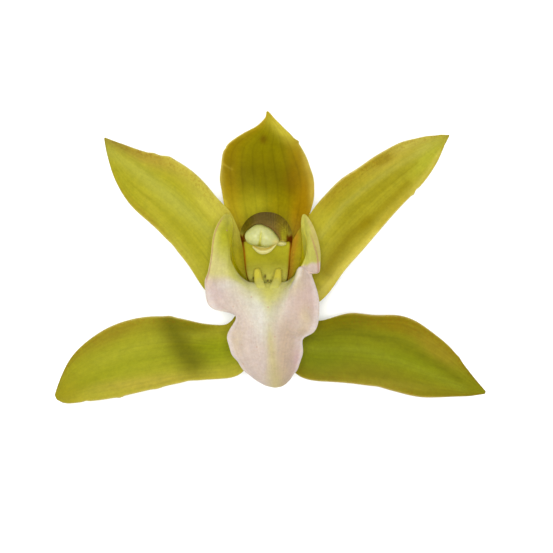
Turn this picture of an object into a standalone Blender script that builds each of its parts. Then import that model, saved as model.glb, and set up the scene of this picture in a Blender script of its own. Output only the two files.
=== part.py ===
# A cymbidium orchid bloom, cut with its own short stalk and laid face up on a table.
# Lengths are in millimetres until a point is placed, and then in metres. +X is the bloom's
# right, +Y its top and +Z the way it faces. Shapes are drawn from the heart of the bloom,
# where its sepals and petals meet, and HEART is where that stands above the table.

import math

import bmesh
import bpy
import numpy as np

MM = 0.001
HEART_HEIGHT = 16.0
HEART = np.array((-0.5, -2.935, HEART_HEIGHT))
TABLE = -HEART_HEIGHT
TEPAL_THICKNESS = 1.0
LIP_THICKNESS = 1.0

# The column's sections along the way it leans forward: height, side edges' level, top's
# level, half width. Its underside is hollowed by this much, and the pocket for the cap is
# the cap's own shape grown by the gap.
COLUMN_SECTIONS = [
    (2.6, -2.2, 2.7, 2.5), (4.6, -2.5, 3.8, 3.5), (8.0, -2.6, 5.6, 4.7),
    (13.0, -1.4, 9.0, 5.3), (17.5, 0.9, 12.2, 5.7), (21.5, 4.2, 14.2, 6.2),
    (24.5, 6.8, 14.8, 6.7), (27.0, 7.4, 14.0, 6.3), (28.6, 7.2, 12.9, 5.6),
]
COLUMN_LEAN = -0.65
COLUMN_HOLLOW = 0.7
COLUMN_SHOULDER = 0.9
COLUMN_FLAP = ((4.1, 7.1, 28.2), (1.0, 0.7, 0.6))
COLUMN_STEPS, COLUMN_TURNS, COLUMN_UNDERSIDE = 20, 17, 9
CAP_CENTRE = (-1.3, 9.1, 28.4)
CAP_SIZE = (4.5, 2.8, 2.6)
CAP_GROOVE, CAP_GROOVE_WIDTH = 0.5, 0.7
CAP_POINTING = 0.4
CAP_TURN = math.radians(-6)
CAP_HOLLOW = ((-1.3, 9.0, 26.9), (3.5, 2.2, 2.7))
CAP_GAP = 0.3
POLLEN_MASSES = [((-2.5, 8.7, 27.2), (1.0, 1.1, 0.9)), ((-0.1, 8.7, 27.2), (1.0, 1.1, 0.9))]
VISCIDIUM = [(-3.7, 6.2), (-3.0, 5.7), (-2.0, 5.2), (-0.9, 5.1), (0.4, 5.4), (1.4, 6.1),
             (2.1, 6.7)]
VISCIDIUM_WIDTHS = (0.25, 0.55, 0.75, 0.8, 0.7, 0.5, 0.25)
VISCIDIUM_HEIGHT = 29.3
VISCIDIUM_HALF_THICKNESS = 0.4
VISCIDIUM_FULL_WIDTH = 0.6
STALKLET = [(-0.7, 5.4, 29.2), (-0.8, 5.5, 28.2), (-1.0, 6.2, 27.4), (-1.3, 7.4, 27.1),
            (-1.3, 8.6, 27.1)]
STALKLET_RADIUS = 0.5
TUBE_SIDES = 12

# The two keels on the lip's floor, as the line of each crest.
KEEL_CRESTS = [
    [(-2.4, -5.2, 8.0), (-2.6, -3.6, 14.0), (-2.8, -0.4, 18.5), (-2.7, 0.9, 20.4),
     (-2.4, -0.8, 22.4), (-2.0, -2.9, 24.3), (-1.7, -5.4, 26.0)],
    [(2.2, -5.2, 8.0), (2.4, -3.6, 14.0), (2.6, -0.4, 18.5), (2.5, 0.9, 20.4),
     (2.3, -0.8, 22.4), (1.9, -2.9, 24.3), (1.6, -5.4, 26.0)],
]
KEEL_HALF_WIDTHS = (0.8, 0.8, 0.85, 0.9, 1.1, 1.4, 1.3)
KEEL_FOOT = (-6.2, -6.1, -5.0, -4.3, -3.5, -4.0, -6.0)
KEEL_LEAST_DEPTH = 0.2
KEEL_STEPS, KEEL_TURNS = 14, 7

# The ovary stands under the bloom as a boss in a flange, bends down to the table and runs
# on as the stalk, which is flat where it lies. The radii are at even steps from the flange
# to the cut end.
BOSS_RADIUS, BOSS_TOP = 3.2, 2.3
FLANGE_RADIUS, FLANGE_TOP, FLANGE_BOTTOM = 5.0, -0.8, -1.9
BEND_RADIUS = 10.4
STALK_AXIS = TABLE + 1.95
STALK_END = -27.0
STALK_RADII = (2.4, 2.75, 2.95, 2.9, 2.65, 2.35, 2.2, 2.2)
STALK_RIBS, STALK_RIB_DEPTH = 6, 0.05
STALK_SIDES = 24
BEND_STEPS, STALK_STEPS = 10, 4

TEPAL_ROWS, TEPAL_COLUMNS = 24, 8
LIP_ROWS, LIP_COLUMNS = 40, 20

# Each tepal is drawn as seen from the front: its two margins in pairs from base to tip, the
# height of its midrib at even steps, and how far each margin lifts towards the front, with
# the power that moves the most lift towards the base (under 1) or the tip (over 1).
TEPALS = {
    "dorsal_sepal": {
        "left": [(-2.4, 3.5), (-6.6, 8.6), (-10.0, 13.8), (-11.5, 19.0), (-12.0, 23.6),
                 (-11.6, 27.6), (-10.3, 31.2), (-6.6, 33.9), (-3.0, 35.8), (-0.8, 37.7),
                 (-0.35, 39.3)],
        "right": [(2.4, 3.5), (6.8, 8.6), (10.2, 13.8), (11.6, 19.0), (11.4, 23.6),
                  (10.0, 27.8), (8.3, 30.9), (6.5, 33.0), (4.2, 35.2), (1.7, 37.7),
                  (0.1, 39.5)],
        "heights": (0.0, -0.1, 4.1, 14.0, 21.6, 25.8, 28.0),
        "cup": (1.3, 1.6, 2.0),
    },
    "petal_left": {
        "left": [(-3.6, -1.2), (-7.2, -4.8), (-11.8, -6.8), (-15.9, -4.6), (-19.5, 0.8),
                 (-24.2, 6.6), (-30.4, 12.7), (-36.0, 18.2), (-40.0, 25.6), (-41.6, 30.8),
                 (-42.3, 34.3)],
        "right": [(-3.4, 2.4), (-5.6, 6.8), (-7.5, 11.0), (-9.5, 15.0), (-13.0, 19.0),
                  (-17.4, 24.0), (-23.8, 28.5), (-30.6, 30.5), (-36.6, 32.6), (-40.0, 33.9),
                  (-41.9, 34.7)],
        "heights": (1.6, 2.4, 3.0, 1.5, -2.6, -7.9, -12.4, -15.58),
        "cup": (0.8, 3.0, 0.6),
    },
    "petal_right": {
        "left": [(3.4, 2.4), (5.9, 6.4), (8.0, 10.6), (10.8, 14.9), (14.8, 20.0),
                 (20.5, 24.9), (26.9, 29.2), (33.6, 33.0), (39.4, 34.6), (43.6, 35.3),
                 (46.5, 35.4)],
        "right": [(3.6, -1.2), (6.4, -5.6), (10.6, -8.4), (15.2, -5.4), (19.6, 0.5),
                  (25.2, 6.9), (31.5, 14.2), (38.0, 20.9), (42.6, 26.8), (45.0, 31.6),
                  (46.7, 35.0)],
        "heights": (1.6, 2.4, 3.0, 1.5, -2.6, -7.9, -12.4, -15.58),
        "cup": (3.0, 1.0, 0.6),
    },
    "lateral_sepal_left": {
        "left": [(-0.5, -4.0), (-1.3, -9.6), (-2.2, -15.5), (-3.7, -21.4), (-7.2, -25.9),
                 (-13.2, -27.2), (-21.6, -28.2), (-30.8, -30.3), (-39.4, -32.2),
                 (-46.6, -33.2), (-51.6, -33.8), (-54.2, -33.0)],
        "right": [(-3.6, -1.8), (-6.4, -6.2), (-8.0, -10.2), (-9.8, -12.8), (-13.0, -13.4),
                  (-18.0, -12.8), (-24.6, -11.4), (-32.8, -11.7), (-40.5, -14.0),
                  (-47.5, -18.6), (-52.3, -24.8), (-55.0, -31.6)],
        "heights": (0.0, -0.4, -1.4, -3.0, -5.6, -8.8, -12.0, -14.6),
        "cup": (1.2, 1.2, 0.6),
    },
    "lateral_sepal_right": {
        "left": [(3.6, -1.8), (7.2, -5.8), (9.6, -9.6), (12.2, -12.2), (16.2, -11.6),
                 (21.1, -10.4), (27.7, -10.9), (34.6, -11.3), (40.7, -14.4), (46.7, -19.3),
                 (51.6, -25.4), (56.0, -30.6)],
        "right": [(0.5, -4.0), (1.4, -9.6), (2.4, -15.7), (4.2, -21.9), (8.2, -26.5),
                  (14.8, -27.9), (22.7, -28.6), (31.4, -30.2), (38.8, -32.0), (45.6, -32.1),
                  (51.3, -31.9), (55.8, -31.4)],
        "heights": (0.0, -0.4, -1.4, -3.0, -5.6, -8.8, -12.0, -14.6),
        "cup": (1.2, 1.2, 0.6),
    },
}

# The lip in seven lines side by side, each from its claw under the column, along the trough,
# over the front of the throat and down the hanging midlobe.
LIP_LINES = {
    "left_margin": [(-2.2, -2.9, 2.4), (-4.5, -2.5, 4.5), (-7.8, 1.6, 7.2), (-9.0, 7.4, 10.6),
                    (-8.8, 12.4, 14.2), (-10.7, 14.3, 17.0), (-13.4, 9.8, 19.0),
                    (-14.2, 3.6, 20.6), (-15.4, -3.8, 22.0), (-13.6, -9.0, 23.0),
                    (-8.0, -10.8, 25.0), (-9.7, -14.8, 24.6), (-9.4, -19.0, 24.0),
                    (-7.5, -22.3, 23.0), (-4.6, -25.6, 21.6), (-0.6, -28.2, 20.0)],
    "left_wall": [(-1.5, -3.3, 2.4), (-3.2, -4.0, 4.5), (-6.9, -2.6, 7.2), (-8.9, 1.0, 11.2),
                  (-9.2, 5.0, 15.4), (-9.3, 7.0, 18.2), (-9.7, 5.2, 20.6), (-10.2, 1.6, 22.4),
                  (-9.9, -3.0, 24.4), (-9.0, -7.4, 25.6), (-6.0, -11.6, 26.4),
                  (-6.2, -15.2, 26.2), (-5.6, -19.4, 25.6), (-4.2, -22.9, 24.5),
                  (-2.2, -26.0, 22.6), (0.6, -28.4, 20.4)],
    "left_floor": [(-0.75, -3.6, 2.4), (-1.6, -4.8, 4.5), (-3.9, -5.7, 7.3),
                   (-5.9, -5.0, 11.7), (-6.7, -3.4, 16.4), (-6.8, -1.9, 19.6),
                   (-6.4, -0.9, 22.0), (-6.2, -2.0, 24.0), (-5.6, -5.0, 25.6),
                   (-4.8, -8.6, 26.5), (-3.1, -12.5, 26.9), (-3.1, -16.1, 26.7),
                   (-2.6, -19.9, 25.9), (-1.7, -23.3, 24.6), (-0.4, -26.4, 22.6),
                   (1.3, -28.5, 20.5)],
    "middle": [(0.0, -3.75, 2.4), (0.0, -5.0, 4.5), (0.0, -6.3, 7.4), (0.0, -6.5, 12.0),
               (0.0, -5.7, 16.6), (0.0, -4.5, 20.2), (0.0, -3.4, 23.0), (0.0, -4.7, 25.1),
               (0.0, -7.4, 26.3), (0.0, -10.4, 26.9), (0.0, -13.5, 27.1), (0.1, -16.8, 26.8),
               (0.4, -20.2, 26.0), (0.8, -23.6, 24.4), (1.3, -26.6, 22.5),
               (1.9, -28.6, 20.5)],
    "right_floor": [(0.75, -3.6, 2.4), (1.6, -4.8, 4.5), (3.9, -5.7, 7.3), (5.9, -5.0, 11.7),
                    (6.6, -3.4, 16.4), (6.6, -1.9, 19.6), (6.2, -0.9, 22.2),
                    (5.8, -1.9, 24.2), (5.2, -4.6, 25.9), (4.8, -8.2, 26.9),
                    (4.2, -12.6, 27.0), (3.3, -16.5, 26.5), (3.0, -19.9, 25.7),
                    (2.9, -23.4, 24.1), (2.9, -26.4, 22.2), (2.6, -28.5, 20.4)],
    "right_wall": [(1.5, -3.3, 2.4), (3.2, -4.0, 4.5), (6.9, -2.6, 7.2), (8.9, 1.0, 11.2),
                   (9.0, 5.0, 15.4), (9.0, 6.6, 18.4), (9.1, 4.4, 21.2), (8.6, 1.4, 23.6),
                   (8.0, -2.2, 25.6), (8.2, -7.0, 26.6), (8.0, -12.2, 26.4),
                   (6.4, -16.2, 26.0), (5.6, -19.6, 25.2), (5.0, -23.2, 23.6),
                   (4.4, -26.2, 21.8), (3.2, -28.4, 20.2)],
    "right_margin": [(2.2, -2.9, 2.4), (4.5, -2.5, 4.5), (7.8, 1.6, 7.2), (8.6, 7.4, 10.6),
                     (8.3, 12.4, 14.2), (9.3, 14.3, 17.0), (12.0, 9.6, 19.0),
                     (12.9, 2.4, 20.6), (10.8, -1.0, 23.2), (12.4, -7.6, 24.0),
                     (11.8, -14.2, 24.4), (8.8, -16.5, 24.8), (8.7, -19.5, 23.8),
                     (7.8, -22.9, 22.2), (6.4, -25.6, 20.4), (4.4, -27.9, 19.4)],
}


def spline(knots, steps):
    """Points at even steps on the natural cubic spline through the knots."""
    knots = np.asarray(knots, float)
    last = len(knots) - 1
    system = np.eye(last + 1)
    pull = np.zeros_like(knots)
    for i in range(1, last):
        system[i, i - 1:i + 2] = 1, 4, 1
        pull[i] = 6 * (knots[i - 1] - 2 * knots[i] + knots[i + 1])
    bend = np.linalg.solve(system, pull.reshape(last + 1, -1)).reshape(knots.shape)
    along = np.linspace(0, last, steps + 1)
    cell = np.minimum(along.astype(int), last - 1)
    after = (along - cell).reshape((-1,) + (1,) * (knots.ndim - 1))
    before = 1 - after
    curve = (before ** 3 - before) * bend[cell] + (after ** 3 - after) * bend[cell + 1]
    return before * knots[cell] + after * knots[cell + 1] + curve / 6


def tepal_skin(form, rows, columns):
    """Grid of points on a tepal's middle surface, rows from base to tip."""
    left = spline(form["left"], rows)[:, None]
    right = spline(form["right"], rows)[:, None]
    height = spline(form["heights"], rows)[:, None]
    along = np.linspace(0, 1, rows + 1)[:, None]
    across = np.linspace(-1, 1, columns + 1)[None, :]
    swell = np.sin(math.pi * along ** form["cup"][2])
    lift = np.where(across < 0, form["cup"][0], form["cup"][1]) * swell * across ** 2
    plan = left + (right - left) * (across[..., None] + 1) / 2
    return np.concatenate([plan, (height + lift)[..., None]], axis=2)


def lip_skin(rows, columns):
    """Grid of points on the lip's middle surface, rows from its claw to the midlobe's tip."""
    lines = np.stack([spline(line, rows) for line in LIP_LINES.values()])
    return np.swapaxes(spline(lines, columns), 0, 1)


def placed(point):
    """A point drawn from the heart, in metres, as it lies on the table."""
    return (np.asarray(point, float) + HEART) * MM


def material(name, colour, roughness):
    made = bpy.data.materials.new(name)
    made.use_nodes = True
    shader = made.node_tree.nodes["Principled BSDF"]
    shader.inputs["Base Color"].default_value = (*colour, 1.0)
    shader.inputs["Roughness"].default_value = roughness
    shader.inputs["Metallic"].default_value = 0.0
    return made


def add_object(name, form, finish, collection):
    mesh = bpy.data.meshes.new(name)
    form.to_mesh(mesh)
    form.free()
    mesh.materials.append(finish)
    mesh.shade_smooth()
    made = bpy.data.objects.new(name, mesh)
    if collection.hide_render:
        made.display_type = "WIRE"
    collection.objects.link(made)
    return made


def blade(name, skin, thickness, finish, collection):
    """A sheet of even thickness on a grid of points, split alike on both faces."""
    rows, columns = skin.shape[0] - 1, skin.shape[1] - 1
    form = bmesh.new()
    bmesh.ops.create_grid(form, x_segments=columns, y_segments=rows, size=1.0)
    for vertex in form.verts:
        row = round((vertex.co.y + 1) / 2 * rows)
        column = round((vertex.co.x + 1) / 2 * columns)
        vertex.co = placed(skin[row, column])
    bmesh.ops.triangulate(form, faces=form.faces)
    made = add_object(name, form, finish, collection)
    solidify = made.modifiers.new("thickness", "SOLIDIFY")
    solidify.thickness = thickness * MM
    solidify.offset = 0.0
    return made


def loft(name, rings, finish, collection):
    """A closed solid through rings of the same number of points, flat at both ends."""
    form = bmesh.new()
    loops = [[form.verts.new(placed(point)) for point in ring] for ring in rings]
    for ring, following in zip(loops, loops[1:]):
        for i in range(len(ring)):
            j = (i + 1) % len(ring)
            form.faces.new((ring[i], ring[j], following[j], following[i]))
    form.faces.new(loops[0][::-1])
    form.faces.new(loops[-1])
    bmesh.ops.recalc_face_normals(form, faces=form.faces)
    return add_object(name, form, finish, collection)


def ellipsoid(name, centre, size, finish, collection):
    form = bmesh.new()
    bmesh.ops.create_uvsphere(form, u_segments=14, v_segments=8, radius=1.0)
    for vertex in form.verts:
        vertex.co = placed(np.array(centre) + np.array(vertex.co) * size)
    return add_object(name, form, finish, collection)


def cap_form(name, size, finish, collection):
    """The cap's domed shape, drawn in towards its two ends and turned a little."""
    form = bmesh.new()
    bmesh.ops.create_uvsphere(form, u_segments=24, v_segments=14, radius=1.0)
    for vertex in form.verts:
        x, y, z = vertex.co
        across = size[0] * x
        up = size[1] * y * (1 - CAP_POINTING * abs(x))
        groove = CAP_GROOVE * max(0.0, z) * math.exp(-(across / CAP_GROOVE_WIDTH) ** 2)
        vertex.co = placed((CAP_CENTRE[0] + across * math.cos(CAP_TURN) - up * math.sin(CAP_TURN),
                            CAP_CENTRE[1] + across * math.sin(CAP_TURN) + up * math.cos(CAP_TURN),
                            CAP_CENTRE[2] + size[2] * z - groove))
    return add_object(name, form, finish, collection)


def tube_rings(path, radius):
    """Round rings square to a path."""
    path = np.asarray(path, float)
    heading = np.gradient(path, axis=0)
    heading /= np.linalg.norm(heading, axis=1)[:, None]
    rings = []
    turns = np.linspace(0, 2 * math.pi, TUBE_SIDES, endpoint=False)
    for point, way in zip(path, heading):
        across = np.cross(way, (1.0, 0.0, 0.0))
        across /= np.linalg.norm(across)
        beside = np.cross(across, way)
        rings.append([point + radius * (math.cos(t) * beside + math.sin(t) * across)
                      for t in turns])
    return rings


def column_rings():
    rings = []
    turns = np.linspace(0, math.pi, COLUMN_TURNS)
    steps = np.linspace(-1, 1, COLUMN_UNDERSIDE)[1:-1]
    for height, edge, top, half in spline(COLUMN_SECTIONS, COLUMN_STEPS):
        lean = COLUMN_LEAN * (height - COLUMN_SECTIONS[0][0]) / COLUMN_SECTIONS[-1][0]
        ring = []
        for turn in turns:
            side = math.copysign(abs(math.cos(turn)) ** COLUMN_SHOULDER, math.cos(turn))
            rise = math.sin(turn) ** COLUMN_SHOULDER if 0 < turn < math.pi else 0.0
            ring.append((lean + half * side, edge + (top - edge) * rise, height))
        for step in steps:
            hollow = COLUMN_HOLLOW * (1 - step ** 2)
            ring.append((lean + half * step, edge + hollow, height))
        rings.append(ring)
    return rings


def keel_rings(crest):
    rings = []
    turns = np.linspace(0, math.pi, KEEL_TURNS)
    lines = (spline(line, KEEL_STEPS) for line in (crest, KEEL_HALF_WIDTHS, KEEL_FOOT))
    for (x, y, z), half, foot in zip(*lines):
        ring = [(x + half * math.cos(turn), y + half * (math.sin(turn) - 1), z)
                for turn in turns]
        low = min(foot, y - half - KEEL_LEAST_DEPTH)
        ring += [(x - half, low, z), (x + half, low, z)]
        rings.append(ring)
    return rings


def stalk_rings():
    """Rings of the ovary and stalk: boss, flange, bend down to the table, and stalk."""
    rings = []
    turns = np.linspace(0, 2 * math.pi, STALK_SIDES, endpoint=False)
    for radius, height in ((BOSS_RADIUS, BOSS_TOP), (BOSS_RADIUS, FLANGE_TOP),
                           (FLANGE_RADIUS, FLANGE_TOP), (FLANGE_RADIUS, FLANGE_BOTTOM)):
        rings.append([(radius * math.cos(t), radius * math.sin(t), height) for t in turns])
    bend_top = STALK_AXIS + BEND_RADIUS
    path = [((FLANGE_BOTTOM + bend_top) / 2, 0.0, 0.0)]
    for angle in np.linspace(0, math.pi / 2, BEND_STEPS + 1):
        path.append((bend_top - BEND_RADIUS * math.sin(angle),
                     -BEND_RADIUS * (1 - math.cos(angle)), angle))
    for reach in np.linspace(-BEND_RADIUS, STALK_END, STALK_STEPS + 1)[1:]:
        path.append((STALK_AXIS, reach, math.pi / 2))
    radii = spline(STALK_RADII, len(path) - 1)
    for (height, reach, angle), radius in zip(path, radii):
        ring = []
        for t in turns:
            swell = radius * (1 - STALK_RIB_DEPTH * math.cos(STALK_RIBS * t))
            out = swell * math.sin(t)
            ring.append((swell * math.cos(t), reach + out * math.cos(angle),
                         max(height - out * math.sin(angle), TABLE)))
        rings.append(ring)
    return rings


def combine(target, others, operation):
    """Joins or cuts a collection's solids into the target for good, then removes them."""
    joined = target.modifiers.new("joined", "BOOLEAN")
    joined.operand_type = "COLLECTION"
    joined.collection = others
    joined.operation = operation
    joined.solver = "EXACT"
    view = bpy.context.evaluated_depsgraph_get()
    mesh = bpy.data.meshes.new_from_object(target.evaluated_get(view))
    target.modifiers.clear()
    target.data = mesh
    for other in list(others.objects):
        bpy.data.objects.remove(other)


def clear_scene():
    for existing in list(bpy.data.objects):
        bpy.data.objects.remove(existing)


def build():
    clear_scene()
    bloom = bpy.data.collections.new("cymbidium_bloom")
    cutters = bpy.data.collections.new("cymbidium_bloom_cutters")
    bpy.context.scene.collection.children.link(bloom)
    bpy.context.scene.collection.children.link(cutters)
    cutters.hide_render = True
    green = material("tepal_green", (0.45, 0.43, 0.04), 0.5)
    blush = material("lip_blush", (0.75, 0.62, 0.52), 0.55)
    olive = material("column_olive", (0.30, 0.26, 0.03), 0.45)
    cream = material("cap_cream", (0.68, 0.66, 0.28), 0.5)
    yellow = material("pollen_yellow", (0.72, 0.55, 0.14), 0.45)
    leaf = material("stalk_green", (0.25, 0.30, 0.05), 0.5)

    for name, form in TEPALS.items():
        skin = tepal_skin(form, TEPAL_ROWS, TEPAL_COLUMNS)
        blade(name, skin, TEPAL_THICKNESS, green, bloom)

    lip = blade("lip", lip_skin(LIP_ROWS, LIP_COLUMNS), LIP_THICKNESS, blush, bloom)
    for crest in KEEL_CRESTS:
        loft("keel", keel_rings(crest), blush, cutters)
    combine(lip, cutters, "UNION")

    column = loft("column", column_rings(), olive, bloom)
    grown = tuple(size + CAP_GAP for size in CAP_SIZE)
    ellipsoid("flap", *COLUMN_FLAP, olive, cutters)
    combine(column, cutters, "UNION")
    cap_form("cap_pocket", grown, olive, cutters)
    combine(column, cutters, "DIFFERENCE")

    cap = cap_form("anther_cap", CAP_SIZE, cream, bloom)
    ellipsoid("cap_hollow", *CAP_HOLLOW, cream, cutters)
    loft("stalklet_way", tube_rings(STALKLET, STALKLET_RADIUS + CAP_GAP), cream, cutters)
    combine(cap, cutters, "DIFFERENCE")

    crescent = []
    turns = np.linspace(0, 2 * math.pi, TUBE_SIDES, endpoint=False)
    for (x, y), width in zip(VISCIDIUM, VISCIDIUM_WIDTHS):
        deep = VISCIDIUM_HALF_THICKNESS * min(1.0, width / VISCIDIUM_FULL_WIDTH)
        crescent.append([(x, y + width * math.cos(t),
                          VISCIDIUM_HEIGHT + deep * math.sin(t)) for t in turns])
    pollinarium = loft("pollinarium", crescent, yellow, bloom)
    loft("stalklet", tube_rings(STALKLET, STALKLET_RADIUS), yellow, cutters)
    for mass in POLLEN_MASSES:
        ellipsoid("pollen_mass", *mass, yellow, cutters)
    combine(pollinarium, cutters, "UNION")

    loft("ovary_pedicel", stalk_rings(), leaf, bloom)


build()
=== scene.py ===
# The looks of a cut cymbidium bloom lying face up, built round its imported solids.
# Lengths are in millimetres from the heart of the bloom until a point is placed. The forms
# repeat those of the solids, on finer grids, with veins, waves and thinner margins.

from math import cos, pi, radians, sin, sqrt

import bpy
import numpy as np
from numpy.linalg import norm
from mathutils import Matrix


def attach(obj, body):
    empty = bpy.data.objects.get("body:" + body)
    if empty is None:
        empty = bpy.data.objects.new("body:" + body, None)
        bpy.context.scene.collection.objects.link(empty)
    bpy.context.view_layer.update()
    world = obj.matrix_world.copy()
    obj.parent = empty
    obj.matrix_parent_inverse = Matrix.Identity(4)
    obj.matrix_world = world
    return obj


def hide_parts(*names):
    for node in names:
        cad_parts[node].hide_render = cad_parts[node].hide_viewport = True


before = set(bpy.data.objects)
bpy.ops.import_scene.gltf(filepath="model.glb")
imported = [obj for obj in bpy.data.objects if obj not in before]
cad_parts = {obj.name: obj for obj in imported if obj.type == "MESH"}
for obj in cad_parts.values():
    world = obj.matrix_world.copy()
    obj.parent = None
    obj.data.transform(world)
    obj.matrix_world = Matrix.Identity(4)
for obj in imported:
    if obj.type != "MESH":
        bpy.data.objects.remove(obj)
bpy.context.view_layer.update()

MM = 0.001
HEART = np.array((-0.5, -2.935, 16.0))
TABLE = -16.0

# The photograph's frame: its pixels are this wide at the heart, seen from this far.
PIXEL = 0.2535
IMAGE_SIDE = 553
HEART_PIXEL = (268.0, 272.0)
CAMERA_DISTANCE = 900.0
SENSOR = 36.0

# The studio, in metres: the lights' places, sizes and powers, and the floor's corners.
LIGHTS = {"key": ((-0.35, 0.4, 1.0), 0.8, 4.0), "front": ((0.0, 0.0, 1.3), 0.25, 16.0),
          "low": ((0.1, -0.8, 0.6), 0.8, 2.0)}
ROOM_LIGHT = 0.7
FLOOR = [(-3, -3, 0), (3, -3, 0), (3, 3, 0), (-3, 3, 0)]
FLOOR_COLOUR = (0.92, 0.92, 0.92)

# Each sepal and petal as seen from the front: its two margins from base to tip, as rows of
# x and y on the left and on the right, the height of its midrib, and how far each margin
# lifts towards the front, with the power that moves the most lift towards the base (under 1)
# or the tip (over 1).
PETAL_HEIGHTS = (1.6, 2.4, 3, 1.5, -2.6, -7.9, -12.4, -15.58)
LATERAL_HEIGHTS = (0, -0.4, -1.4, -3, -5.6, -8.8, -12, -14.6)
TEPALS = {
    "dorsal_sepal": {
        "margins": [(-3.4, 3.3, 4.2, 3), (-7.2, 8.4, 7.8, 8), (-10, 13.8, 10.3, 13.8),
            (-11.5, 19, 11.6, 19), (-12, 23.6, 11.4, 23.6), (-11.6, 27.6, 10, 27.8),
            (-10.3, 31.2, 8.3, 30.9), (-6.6, 33.9, 6.5, 33), (-3, 35.8, 4.2, 35.2),
            (-0.8, 37.7, 1.7, 37.7), (-0.35, 39.3, 0.1, 39.5)],
        "heights": (0, -0.1, 4.1, 14, 21.6, 25.8, 28),
        "cup": (1.3, 1.6, 2),
    },
    "petal_left": {
        "margins": [(-3.6, -1.2, -3.4, 2.4), (-7.2, -4.8, -5.6, 6.8), (-11.8, -6.8, -7.5, 11),
            (-15.9, -4.6, -9.5, 15), (-19.5, 0.8, -13, 19), (-24.2, 6.6, -17.4, 24),
            (-30.4, 12.7, -23.8, 28.5), (-36, 18.2, -30.6, 30.5), (-40, 25.6, -36.6, 32.6),
            (-41.6, 30.8, -40, 33.9), (-42.3, 34.3, -41.9, 34.7)],
        "heights": PETAL_HEIGHTS,
        "cup": (0.8, 3, 0.6),
    },
    "petal_right": {
        "margins": [(3.4, 2.4, 3.6, -1.2), (5.6, 6.8, 6.4, -5.6), (7.9, 10.8, 10.6, -8.4),
            (10.8, 14.9, 15.2, -5.4), (14.8, 20, 19.6, 0.5), (20.5, 24.9, 25.2, 6.9),
            (26.9, 29.2, 31.5, 14.2), (33.6, 33, 38, 20.9), (39.4, 34.6, 42.6, 26.8),
            (43.6, 35.3, 45, 31.6), (46.5, 35.4, 46.7, 35)],
        "heights": PETAL_HEIGHTS,
        "cup": (3, 1, 0.6),
    },
    "lateral_sepal_left": {
        "margins": [(-0.5, -4, -3.6, -1.8), (-1.3, -9.6, -6.4, -6.2), (-2.2, -15.5, -8, -10.2),
            (-3.7, -21.4, -9.8, -12.8), (-7.2, -25.9, -13, -13.4), (-13.2, -27.2, -18, -12.8),
            (-21.6, -28.2, -24.6, -11.4), (-30.8, -30.3, -32.8, -11.7), (-39.4, -32.2, -40.5, -14),
            (-46.6, -33.2, -47.5, -18.6), (-51.6, -33.8, -52.3, -24.8), (-54.2, -33, -55, -31.6)],
        "heights": LATERAL_HEIGHTS,
        "cup": (1.2, 1.2, 0.6),
    },
    "lateral_sepal_right": {
        "margins": [(3.6, -1.8, 0.5, -4), (7.2, -5.8, 1.4, -9.6), (9.6, -9.6, 2.4, -15.7),
            (12.2, -12.2, 4.2, -21.9), (16.2, -11.6, 8.2, -26.5), (21.1, -10.4, 14.8, -27.9),
            (27.7, -10.9, 22.7, -28.6), (34.6, -11.3, 31.4, -30.2), (40.7, -14.4, 38.8, -32),
            (46.7, -19.3, 45.6, -32.1), (51.6, -25.4, 51.3, -31.9), (56, -30.6, 55.8, -31.4)],
        "heights": LATERAL_HEIGHTS,
        "cup": (1.2, 1.2, 0.6),
    },
}

TEPAL_GRID = (240, 60)
HALF_THICKNESS = 0.5
MARGIN_WAVE, MARGIN_RIPPLE, FACE_WAVE = 0.22, 0.07, 0.12
MIDRIB, MIDRIB_GROOVE = 0.3, 0.12
RIB_COUNT, RIB_HEIGHT = 9, 0.03

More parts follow.
